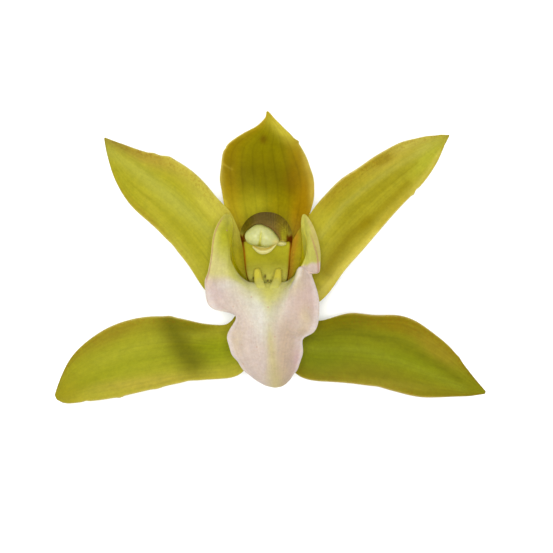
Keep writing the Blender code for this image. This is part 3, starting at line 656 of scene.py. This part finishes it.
def tepal(name, slot, finish):
    along, across, u, v = blade_grid(*TEPAL_GRID)
    skin = tepal_skin(TEPALS[name], along, across)
    seed = sum(name.encode())
    free = ramp(0.05, 0.3, u) * ramp(1, 0.9, u)
    for side in (-1, 1):
        edge = ramp(0.35, 1, side * v) * free
        skin[..., 2] += MARGIN_WAVE * edge * waves(u, seed + side, 4, 9, 30)
        outward = skin[:, -1, :2] - skin[:, 0, :2]
        outward /= norm(outward, axis=1, keepdims=True)
        ripple = MARGIN_RIPPLE * edge ** 3 * waves(u, seed + 5 * side, 5, 12, 55)
        reach = ramp(0.75, 1, side * v) ** 3
        for at, where, depth, length in NICKS[name]:
            ripple -= depth * hump(u, at, length) * reach * (where == side)
        skin[..., :2] += side * outward[:, None] * ripple[..., None]
    skin[..., 2] += FACE_WAVE * free * waves(u + 0.2 * v, seed, 3, 8, 20) * (1 - v ** 2)
    rim = np.sqrt(np.maximum(0.0, 1 - np.abs(v) ** 3))
    body = HALF_THICKNESS - 0.2 * np.abs(v) ** 2
    ends = 0.55 + 0.45 * ramp(1, 0.9, u)
    groove = MIDRIB_GROOVE * hump(v, 0, 0.05) * ramp(0.98, 0.8, u)
    ribs = RIB_HEIGHT * np.cos(v * RIB_COUNT * pi) * (1 - v ** 2)
    front = (body * rim - groove * rim + ribs) * ends
    rib = MIDRIB * hump(v, 0, 0.07) * ramp(1, 0.7, u)
    back = (body * rim + rib * rim - ribs) * ends
    layers = [("base", 0.8 * ramp(0.35, 0.1, u)), ("tip", 0.8 * ramp(0.75, 1, u)),
              ("left", 0.85 * ramp(-0.35, -0.95, v)), ("right", 0.85 * ramp(0.35, 0.95, v))]
    for x, y, length, width, turn, colour, share in PATCHES[name]:
        away = skin[..., :2] - (x, y)
        cosine, sine = cos(radians(turn)), sin(radians(turn))
        ahead, aside = away @ (cosine, sine), away @ (-sine, cosine)
        spot = hump(ahead, 0, length) * hump(aside, 0, width)
        layers.append((colour, share * np.minimum(1.0, 1.25 * spot)))
    layers += [(colour, share * hump(distance(skin[..., :2], points), 0, width))
               for points, width, colour, share in LINES[name]]
    layers.append(("rim", 0.8 * ramp(0.94, 0.99, np.abs(v)) * ramp(0.3, 0.45, u)))
    tint = laid("middle", name, layers)
    tints = tint, laid(tint, name, [("back", 0.55)])
    right, left, tip = FLECKED[name]
    flecked = np.maximum(np.where(v > 0, right, left) * np.abs(v), tip * u ** 3)
    fleck = ramp(0.5, 0.95, flecked) * ramp(0.25, 0.5, u)
    blade(name, skin, front, back, slot, finish, tints, u, v, fleck)


def lip_piece(finish):
    along, across, u, v = blade_grid(*LIP_GRID)
    lines = np.stack([spline(line, along) for line in LIP_LINES.values()])
    skin = np.swapaxes(spline(lines, (across + 1) / 2), 0, 1)
    row = u * (len(LIP_LINES["middle"]) - 1)
    fold = hump(row, 8.25, 0.42)
    skin[..., 1] += fold * (4.0 * ramp(0.36, 0.66, v) - 3.2 * ramp(0.68, 1, v))
    skin[..., 2] += 0.9 * fold * ramp(0.36, 0.66, v)
    notch = hump(row, 7.85, 0.22) * ramp(-0.88, -1, v)
    skin += notch[..., None] * (-0.3, 0.6, 0.4)
    heel = hump(row, 7.42, 0.32) * ramp(0.62, 1, v)
    skin += heel[..., None] * (0.7, -1.0, -0.3)
    skin[..., 0] += 0.5 * hump(row, 8.7, 0.45) * ramp(0.8, 1, v)
    skin[..., 1] += 0.3 * hump(row, 6.5, 0.8) * hump(v, 0, 0.22)
    outward = skin[..., :2] - THROAT
    outward /= norm(outward, axis=2, keepdims=True)
    sides = np.where(v < 0, ramp(-0.7, -0.54, v), ramp(0.85, 0.6, v))
    widened = ramp(0.08, 0.24, np.abs(v)) * sides
    widened *= (RIM_PUSH * ramp(2.5, 5, row) * ramp(8, 6.4, row)
                + WALL_PUSH * ramp(2, 4, row) * ramp(6.2, 5, row))
    skin[..., :2] += widened[..., None] * outward
    edge = ramp(0.72, 1, np.abs(v)) * ramp(7.4, 8.4, row) * ramp(15, 13.8, row)
    skin[..., 2] += 0.25 * edge * waves(row + 3 * np.sign(v), 4, 5, 2.0, 5.5)
    sway = 1 + 0.005 * edge ** 2 * waves(row + 5 * np.sign(v), 9, 4, 2.5, 6)
    skin[..., :2] *= sway[..., None]
    x, y = skin[..., 0], skin[..., 1]
    front = ramp(6.6, 7.6, row)
    skin[..., 2] += front * 0.45 * crease(x, y) * ramp(-9, -4, y)
    skin[..., 2] -= 0.6 * hump(x - 0.1 * (y + 10), 0.8, 1.5) * ramp(-6, -14, y) * front
    sinus = distance(skin[..., :2], ((8.6, -16.2), (5.4, -15.4)))
    skin[..., 2] -= 0.35 * hump(sinus, 0, 0.7) * front
    rim = np.sqrt(np.maximum(0.0, 1 - np.abs(v) ** 4))
    ends = 0.15 + 0.85 * np.sqrt(np.clip((1 - u) / 0.02, 0, 1))
    body = (HALF_THICKNESS - 0.22 * v ** 2) * rim * ends
    blade("lip", skin, body, body, "lip_blush", finish, lip_tints(skin, row, v), u, v,
          0.35 * ramp(7, 9, row), turned=True)


def past_crease(x, y):
    """How far a point lies to the right of the fold that runs down from the flare's peak."""
    return x - np.interp(y, CREASE[1], CREASE[0])


def crease(x, y):
    """How high the fold down the right flare stands, from 0 to 1."""
    return hump(past_crease(x, y), 0.4, 1.1)


def lip_tints(skin, row, v):
    """The lip's colours inside, with painted light where it stands steep, and outside, with
    painted light on the trough and lobes.
    """
    x, y = skin[..., 0], skin[..., 1]
    past = past_crease(x, y)
    side = np.abs(v)

    def spot(share, across, wide, up, tall):
        return share * hump(x, across, wide) * hump(y, up, tall)

    layers = [
        # Painted shade: darker over the midlobe's right half, which turns away, and in the hollow
        # right of the flare's fold.
        ("dusk_shade", ramp(0.5, 4, x) * ramp(7.6, 5.6, x) * ramp(-8, -15, y)),
        ("dusk_shade", 0.8 * hump(x - 7.4 - 0.1 * (y + 6), 0, 1.3) * hump(y, -6.5, 5.5)),
        ("pink", spot(0.8, 7.2, 1.2, -22, 3.2)),
        ("pink", spot(0.3, 9.5, 2.4, -6, 5)),
        ("butter", spot(0.7, 9.2, 1.5, -10.6, 3.6)),
        # Painted shade: the first ochre spot is a brownish shading on the right flare.
        ("ochre", spot(0.5, 8, 1.4, -14.6, 1.2)),
        ("butter", spot(0.4, -7.5, 1.6, -17, 4)),
        ("cream", hump(x, -0.6, 2.2 + 5.6 * ramp(-15, -2, y)) * ramp(-20, -9, y)),
        ("shade", 0.7 * hump(x - 3.4 - 0.28 * (y + 4), 0, 1.5) * hump(y, -7, 4.5)),
        ("lime", hump(x, 0, 1.0 + 5.4 * ramp(-10, -2.5, y)) * ramp(-13, -4.6, y)),
        ("rim", ramp(-4.5, -1.5, y) * ramp(0.7, 0.4, side) * ramp(6.6, 7.2, row)),
        ("pink", 0.35 * ramp(0, 0.7, past) * ramp(-14, -6, y)),
        ("mauve", spot(0.5, -13, 3, -4, 4)),
        ("mauve", spot(0.8, -14.2, 2.2, -2.6, 2.2)),
        ("lobe", ramp(7.85, 7.4, row) * ramp(0.1, 0.5, side)),
        ("lobe_low", 0.8 * hump(row, 7.3, 0.6) * ramp(0.4, 0.8, side) * (v < 0)),
        # The lobes' inner sides greener: partly their own colour, partly painted shade where they
        # turn inwards.
        ("lobe_green", 0.9 * ramp(-13.2, -11.2, x) * hump(y, 9.2, 4.6) * (row < 7.5) * (v < 0)),
        ("lobe_green", spot(0.7, 8.3, 1.3, 8, 5) * (row < 7.5)),
        # Painted light: the deep colour is brighter than the tissue, to lift the shade in the
        # trough's back.
        ("deep", np.maximum(ramp(6.4, 5.4, row) * ramp(0.9, 0.5, side), ramp(4, 3, row))),
        ("flush", 0.9 * ramp(2.3, 1.3, y - 0.25 * (x - 10) + 0.2 * np.sin(2.2 * x))
         * ramp(7.6, 8.4, x) * (row > 6.3) * (row < 7.95) * (v > 0.6)),
        # Partly painted light: the whiter band on the midlobe's left half, which faces the light,
        # over its pale colour.
        ("white", 0.8 * hump(x + 2.5 + 0.2 * (y + 9), 0, 2) * hump(y, -11.5, 5)),
        ("white", spot(0.5, -10, 3, -3.4, 1.2)),
        ("stripe", 0.6 * hump(x - 0.7 + 0.1 * (y + 16), 0, 1.3 + 0.7 * ramp(-20, -27, y))
         * ramp(-10, -17, y)),
        ("ochre", spot(0.35, 3.6, 1.3, -21, 5)),
        # Painted highlight: a whitish-pink line along the ridge of the flare's fold.
        ("edge", 0.6 * hump(past, 0.15, 0.3) * ramp(-5.5, -3.5, y) * ramp(7.95, 8.05, row)),
    ]
    outer = ramp(4.9, 5.6, row) * ramp(8.1, 7.7, row)
    right_line = np.interp(row, (5.2, 5.8, 6.3, 6.8, 7.3), (0.915, 0.89, 0.905, 0.945, 0.972))
    layers += [
        ("line", 0.7 * hump(v, -0.978, 0.012) * outer),
        ("pale_rim", ramp(0.02, 0.04, v - right_line) * ramp(7.2, 6.4, row) * ramp(4.9, 5.6, row)),
        ("line", 0.7 * hump(v, right_line, 0.018) * outer * ramp(5.5, 6.2, row)),
        ("edge", 0.65 * ramp(0.86, 0.97, side) * ramp(7.9, 8.4, row)),
    ]
    tint = laid("blush", "lip", layers)
    # Painted light: inside, the tissue is lightened where it stands steep and turns from the
    # lamps.
    facing = np.abs(normals(skin)[..., 2])
    steep = 1.4 * ramp(0.7, 0.1, facing) + 0.8 * ramp(0.3, 0, facing)
    reach = np.maximum(ramp(8.2, 7.4, row), 0.4 * ramp(0.7, 0.85, v) * ramp(9.2, 8.6, row))
    steep = steep * reach * ramp(0.3, 0.6, side)
    # Painted light: the outside of the trough and lobes is lightened, as it faces down into shade.
    cup = ramp(8.6, 7, row)
    outside = laid(tint, "lip", [("outside", 0.6 * cup)]) * (1 + 0.45 * cup)[..., None]
    inside = tint * (1 + steep[..., None])
    return np.minimum(inside, LIGHTEST), np.minimum(outside, LIGHTEST)


def keels(finish):
    for name, crest in KEEL_CRESTS.items():
        at, turns = np.linspace(0, 1, KEEL_GRID[0]), np.linspace(0, pi, KEEL_GRID[1])
        points = []
        lines = (spline(line, at) for line in (crest, KEEL_HALF_WIDTHS, KEEL_FOOT))
        for (x, y, z), half, foot in zip(*lines):
            points += [(x + half * cos(t), y + half * (sin(t) - 1), z) for t in turns]
            low = min(foot, y - half - 0.2)
            points += [(x - half, low, z), (x + half, low, z)]
        sides = len(turns) + 2
        foot = np.repeat(ramp(0.6, 0.8, at), sides)
        tint = mixed(own("crest", "keels"), own("keel_foot", "lip"), foot)
        add_piece(name, points, ring_faces(len(at), sides), "lip_blush", finish, tint=tint,
                  across=np.zeros(len(points)), along=np.repeat(at, sides))


def column_piece(finish):
    """The column in rings from its base to its head, then over the head into its pocket."""
    over, under = np.linspace(0, pi, COLUMN_OVER), np.linspace(-1, 1, COLUMN_UNDER)[1:-1]
    sine, cosine = np.clip(np.sin(over), 0, 1), np.cos(over)
    side = np.concatenate([np.sign(cosine) * np.abs(cosine) ** COLUMN_SHOULDER, under])
    rise = np.concatenate([sine ** COLUMN_SHOULDER, 0 * under])
    hollow = np.concatenate([0 * over, 1 - under ** 2])
    first, last = COLUMN_SECTIONS[0][0], COLUMN_SECTIONS[-1][0]
    parts = []
    back, belly, deep, rust, brown, maroon, dark, pocket = (own(name, "column") for name in (
        "back", "belly", "deep", "rust", "brown", "maroon", "speck", "pocket"))
    at = np.linspace(0, 1, COLUMN_RINGS)
    for z, edge, top, half, deepest in spline(COLUMN_SECTIONS, at):
        lean = COLUMN_LEAN * ((z - first) / last) ** 2
        pinch = np.where(side > 0, 0.04, 0.1)
        pinch = 1 - pinch * ramp(16, 24, z) * ramp(0.35, 0, rise)
        ring = np.stack([lean + half * side * pinch, edge + (top - edge) * rise
                         + deepest * hollow, np.full(len(side), z)], axis=1)
        for _ in range(5):
            ring = (np.roll(ring, 1, axis=0) + 2 * ring + np.roll(ring, -1, axis=0)) / 4
        tint = mixed(back, belly, ramp(0, 0.2, hollow))
        # Painted light: the underside deep in the throat gets a brighter yellow, and its right
        # side is lightened, to lift their shade.
        tint = mixed(tint, 1.15 * deep, ramp(20.3, 9.2, z) * ramp(0, 0.2, hollow))
        right = (0.08 + 0.16 * ramp(20, 14, z)) * ramp(0.5, 4, ring[:, 0])
        tint = tint * (1 + right * (hollow > 0))[:, None]
        for x, y, width, tall in THROAT_SPECKS:
            speck = hump(ring[:, 0], x, width) * hump(ring[:, 1], y, tall)
            tint = mixed(tint, dark, speck * (hollow > 0) * (z > 9))
        tint = mixed(tint, brown, 0.5 * ramp(0.82, 0.97, np.abs(side)) * ramp(0.5, 0.1, rise))
        tint = mixed(tint, head_tint(ring), ramp(12, 21, z) * ramp(0.2, 0.5, rise))
        limit = 0.905 - 0.015 * ramp(20, 27, z)
        tall = 0.15 + 0.2 * ramp(20, 25, z)
        line = rust + (maroon - rust) * ramp(21, 26, z)
        share = ramp(limit, limit + 0.025, np.abs(side)) * ramp(tall, 0.5 * tall, rise)
        parts.append((ring, mixed(tint, line, share), np.where(hollow > 0, 0.03 * side, side)))
    centre, outline = CAP_CENTRE[:2], ring
    reach = outline[:, :2] - centre
    heading = np.arctan2(reach[:, 1], reach[:, 0])
    length = norm(reach, axis=1)
    mouth = np.minimum(cap_reach(heading, 0.03), length - 0.12)
    unit = reach / length[:, None]
    for turn in np.linspace(0, pi / 2, 7)[1:]:
        ring = np.copy(outline)
        ring[:, :2] = centre + unit * (length - 0.5 * (1 - cos(turn)))[:, None]
        ring[:, 2] += 0.45 * sin(turn)
        parts.append((ring, head_tint(ring), heading))
    base = ring
    inner = np.concatenate([centre + unit * mouth[:, None], base[:, 2:]], axis=1)
    for share in np.linspace(0, 1, 19)[1:]:
        ring = base + (inner - base) * share
        wide = norm(inner - base, axis=1)
        ring[:, 2] += 0.22 * wide * sin(pi * share ** 0.8)
        parts.append((ring, head_tint(ring, share * ramp(0.3, 1, wide)), heading))
    # Painted light: the pocket's walls are lighter than the tissue, so the gap round the cap shows
    # little shade.
    for depth in POCKET_DEPTHS:
        ring = np.copy(inner)
        ring[:, 2] -= depth
        parts.append((ring, np.tile(pocket, (len(ring), 1)), heading))
    points, tints, lanes = (np.concatenate(part) for part in zip(*parts))
    add_piece("column", points, ring_faces(len(parts), len(outline)), "column_olive", finish,
              "column", tint=tints, across=lanes, along=points[:, 2] / 30)


def head_tint(ring, inward=0):
    """The column's head: dark brown, greener to the left, streaked and lighter to the right."""
    x, y = ring[:, 0], ring[:, 1]
    patch = ramp(2.8, 3.6, x) * ramp(5.4, 4.6, x) * hump(y, 9, 1.8)
    tint = laid("head", "column", [
        ("head_left", ramp(-2, -5, x)), ("head_right", ramp(1, 3.2, x)),
        ("patch", 0.85 * patch), ("head_end", ramp(4.8, 5.6, x) * ramp(11, 9, y))])
    streaks = waves(x, 3, 6, 9, 20) * ramp(-1, 1.5, x)
    return laid(tint * (1 + 0.13 * streaks)[:, None], "column", [
        ("foot", ramp(7.9, 7.4, y) * ramp(5, 4.4, np.abs(x + 0.65))),
        ("corner", ramp(4.8, 5.4, np.abs(x + 0.5)) * ramp(9.6, 8.6, y)),
        ("mouth", 0.5 * ramp(0.5, 0.85, inward) * ramp(7.7, 8.1, y) * ramp(-3, 0.5, x))])


def cap_reach(heading, grown=0.0):
    """How far the cap's outline is from its centre, by heading."""
    reach = CAP_OUTLINE - CAP_CENTRE[:2]
    ends = np.arctan2(reach[:, 1], reach[:, 0])
    order = np.argsort(ends)
    spread = np.radians([-8, -4, 0, 4, 8])
    far = norm(reach, axis=1)[order]
    return grown + np.mean([np.interp(heading + turn, ends[order], far, period=2 * pi)
                            for turn in spread], axis=0)


def cap_piece(finish):
    polar, turn = ball_grid(*CAP_GRID, 0.02)
    out = np.sin(polar) * cap_reach(turn)
    z = np.broadcast_to(np.cos(polar), out.shape)
    x, y = CAP_CENTRE[0] + out * np.cos(turn), CAP_CENTRE[1] + out * np.sin(turn)
    place, width, depth = CAP_GROOVE
    off = x - place - 0.12 * (y - 8.6)
    groove = hump(off, 0, width) * ramp(11, 8.6, y)
    valley = hump(off, 0, 3 * width) * ramp(11.5, 8.6, y)
    rise = CAP_HEIGHT * z - (depth * groove + 0.4 * valley) * ramp(-0.2, 0.5, z)
    y = y + 0.2 * groove * ramp(7.5, 6.2, y) * ramp(-0.6, 0.2, z)
    points = np.stack([x, y, rise + CAP_CENTRE[2]], axis=2).reshape(-1, 3)
    line = hump(off, 0, 0.2 + 0.25 * ramp(8, 6.2, y))
    tint = laid("cream", "cap", [
        ("edge", 0.6 * ramp(0.6, 0.98, np.sin(polar))),
        ("groove", 0.9 * line * ramp(11.2, 8.6, y)),
        ("beak", 0.8 * ramp(0.6, 2.2, x) * ramp(8.6, 7.4, y))])
    add_piece("anther_cap", points, ring_faces(*CAP_GRID, -1), "cap_cream", finish,
              "anther_cap", tint=tint.reshape(-1, 3), across=x.ravel() / 5,
              along=y.ravel() / 5)


def flap_piece(finish):
    polar, turn = ball_grid(*FLAP_GRID, 0.03)
    unit = np.stack([np.sin(polar) * np.cos(turn), np.sin(polar) * np.sin(turn),
                     np.broadcast_to(np.cos(polar), FLAP_GRID)], axis=2)
    centre, size = COLUMN_FLAP
    points = (unit * size + centre).reshape(-1, 3)
    add_piece("column_flap", points, ring_faces(*FLAP_GRID, -1), "column_olive", finish,
              tint=np.tile(own("flap", "cap"), (len(points), 1)), across=unit[..., 0].ravel(),
              along=unit[..., 1].ravel())


def crescent_piece(finish):
    at, turns = np.linspace(0, 1, VISCIDIUM_GRID[0]), circle(VISCIDIUM_GRID[1])
    points, tints = [], []
    for (x, y), width in zip(spline(VISCIDIUM, at), spline(VISCIDIUM_WIDTHS, at)):
        deep = 0.4 * min(1.0, width / 0.6)
        for turn in turns:
            rise = (1.0 if cos(turn) < 0 else 1.4) * width * cos(turn)
            points.append((x, y + rise, VISCIDIUM_HEIGHT + deep * sin(turn)
                           - 0.6 * max(0.0, rise)))
            # Painted shadow: a gold band along the crescent's upper edge, under the cap.
            gold_shadow = hump(rise, 0.45, 0.22)
            tints.append(mixed(own("crescent", "cap"), own("gold_shadow", "cap"), gold_shadow))
    add_piece("pollinarium", points, ring_faces(*VISCIDIUM_GRID), "pollen_yellow", finish,
              "pollinarium", tint=tints, across=np.zeros(len(points)),
              along=np.repeat(at, len(turns)))


def stalk_piece(finish):
    """The ovary and stalk: a boss in a flange, the bend down to the table, and the run."""
    turns = circle(STALK_SIDES)
    rings, shades = [], []
    for radius, height in ((BOSS_RADIUS, BOSS_TOP), (BOSS_RADIUS, FLANGE_TOP),
                           (FLANGE_RADIUS, FLANGE_TOP), (FLANGE_RADIUS, FLANGE_BOTTOM)):
        for step in (0.0, 0.15):
            grown = radius - step
            rings.append([(grown * cos(t), grown * sin(t), height - step) for t in turns])
            shades.append(0.0)
    bend_top = STALK_AXIS + BEND_RADIUS
    path = [((FLANGE_BOTTOM + bend_top) / 2, 0.0, 0.0)]
    path += [(bend_top - BEND_RADIUS * sin(turn), -BEND_RADIUS * (1 - cos(turn)), turn)
             for turn in np.linspace(0, pi / 2, STALK_RINGS)]
    path += [(STALK_AXIS, reach, pi / 2)
             for reach in np.linspace(-BEND_RADIUS, STALK_END, STALK_RINGS)[1:]]
    radii = spline(STALK_RADII, np.linspace(0, 1, len(path)))
    for step, ((height, reach, angle), radius) in enumerate(zip(path, radii)):
        ring = []
        for t in turns:
            swell = radius * (1 - STALK_RIB_DEPTH * cos(STALK_RIBS * t))
            swell += 0.03 * sin(3 * t + 0.21 * step)
            out = swell * sin(t)
            ring.append((swell * cos(t), reach + out * cos(angle),
                         max(height - out * sin(angle), TABLE)))
        rings.append(ring)
        shades.append(step / len(path))
    end = np.array(rings[-1])
    middle = end.mean(axis=0)
    for share in (0.9, 0.6, 0.25):
        ring = middle + (end - middle) * share
        ring[:, 1] += 0.25 * (1 - share)
        rings.append(ring)
        shades.append(2.0 - share)
    points = np.array(rings).reshape(-1, 3)
    shade = np.repeat(shades, len(turns))
    groove = np.tile(np.cos(STALK_RIBS * turns), len(rings))
    tint = laid("green", "ovary_pedicel", [
        ("pale", ramp(0.15, 0.9, shade)), ("groove", 0.6 * ramp(0.2, 1, groove)),
        ("cut", ramp(1.05, 1.3, shade))])
    add_piece("ovary_pedicel", points, ring_faces(len(rings), len(turns)), "stalk_green",
              finish, "ovary_pedicel", tint=tint, across=np.tile(turns / pi, len(rings)),
              along=shade)


def camera():
    data = bpy.data.cameras.new("camera")
    data.sensor_width = SENSOR
    data.lens = SENSOR * CAMERA_DISTANCE / (IMAGE_SIDE * PIXEL)
    data.clip_end = 20.0
    made = linked(bpy.data.objects.new("camera", data))
    across = (IMAGE_SIDE / 2 - HEART_PIXEL[0]) * PIXEL
    up = (HEART_PIXEL[1] - IMAGE_SIDE / 2) * PIXEL
    made.location = placed((across, up, CAMERA_DISTANCE))
    bpy.context.scene.camera = made


def studio():
    mesh = bpy.data.meshes.new("floor")
    mesh.from_pydata(FLOOR, [], [(0, 1, 2, 3)])
    floor = linked(bpy.data.objects.new("floor", mesh))
    finish = Finish("floor_white", 0.8)
    finish.shader.inputs["Base Color"].default_value = (*FLOOR_COLOUR, 1.0)
    finish.shader.inputs["Specular IOR Level"].default_value = 0.1
    mesh.materials.append(finish.material)
    for name, (place, size, power) in LIGHTS.items():
        data = bpy.data.lights.new(name, "AREA")
        data.shape, data.size, data.energy = "SQUARE", size, power
        light = linked(bpy.data.objects.new(name, data))
        light.location = place
        light.rotation_euler = (-light.location).to_track_quat("-Z", "Y").to_euler()
    world = bpy.data.worlds.new("room")
    world.use_nodes = True
    background = world.node_tree.nodes["Background"].inputs
    background["Color"].default_value = (1, 1, 1, 1)
    background["Strength"].default_value = ROOM_LIGHT
    bpy.context.scene.world = world
    bpy.context.scene.view_settings.view_transform = "Standard"


camera()
studio()
brown, maroon = (150, 104, 24), (90, 50, 20)
dorsal_tissue = tissue_finish("dorsal_tissue", 4.0, 0.08, 0.13, maroon, brown)
tissue = tissue_finish("tepal_tissue", 8.0, 0.06, 0.05, maroon, brown)
lip_tissue = tissue_finish("lip_tissue", 12.0, 0.05, 0.0, (206, 160, 140), (222, 178, 160),
                           specked=0.3)
for node in TEPALS:
    tepal(node, "petal_green" if node.startswith("petal") else "sepal_green",
          dorsal_tissue if node == "dorsal_sepal" else tissue)
lip_piece(lip_tissue)
keels(lip_tissue)
column_tissue = tissue_finish("column_tissue", 16.0, 0.16, 0.04, maroon, brown, 0.7, 0.0)
waxy = tissue_finish("cap_wax", 3.0, 0.03, 0.0, (200, 170, 80), brown, 0.4, 0.25)
stalk_skin = tissue_finish("stalk_skin", 12.0, 0.08, 0.05, (90, 80, 30), brown, 0.5)
column_piece(column_tissue)
cap_piece(waxy)
crescent_piece(waxy)
flap_piece(waxy)
stalk_piece(stalk_skin)
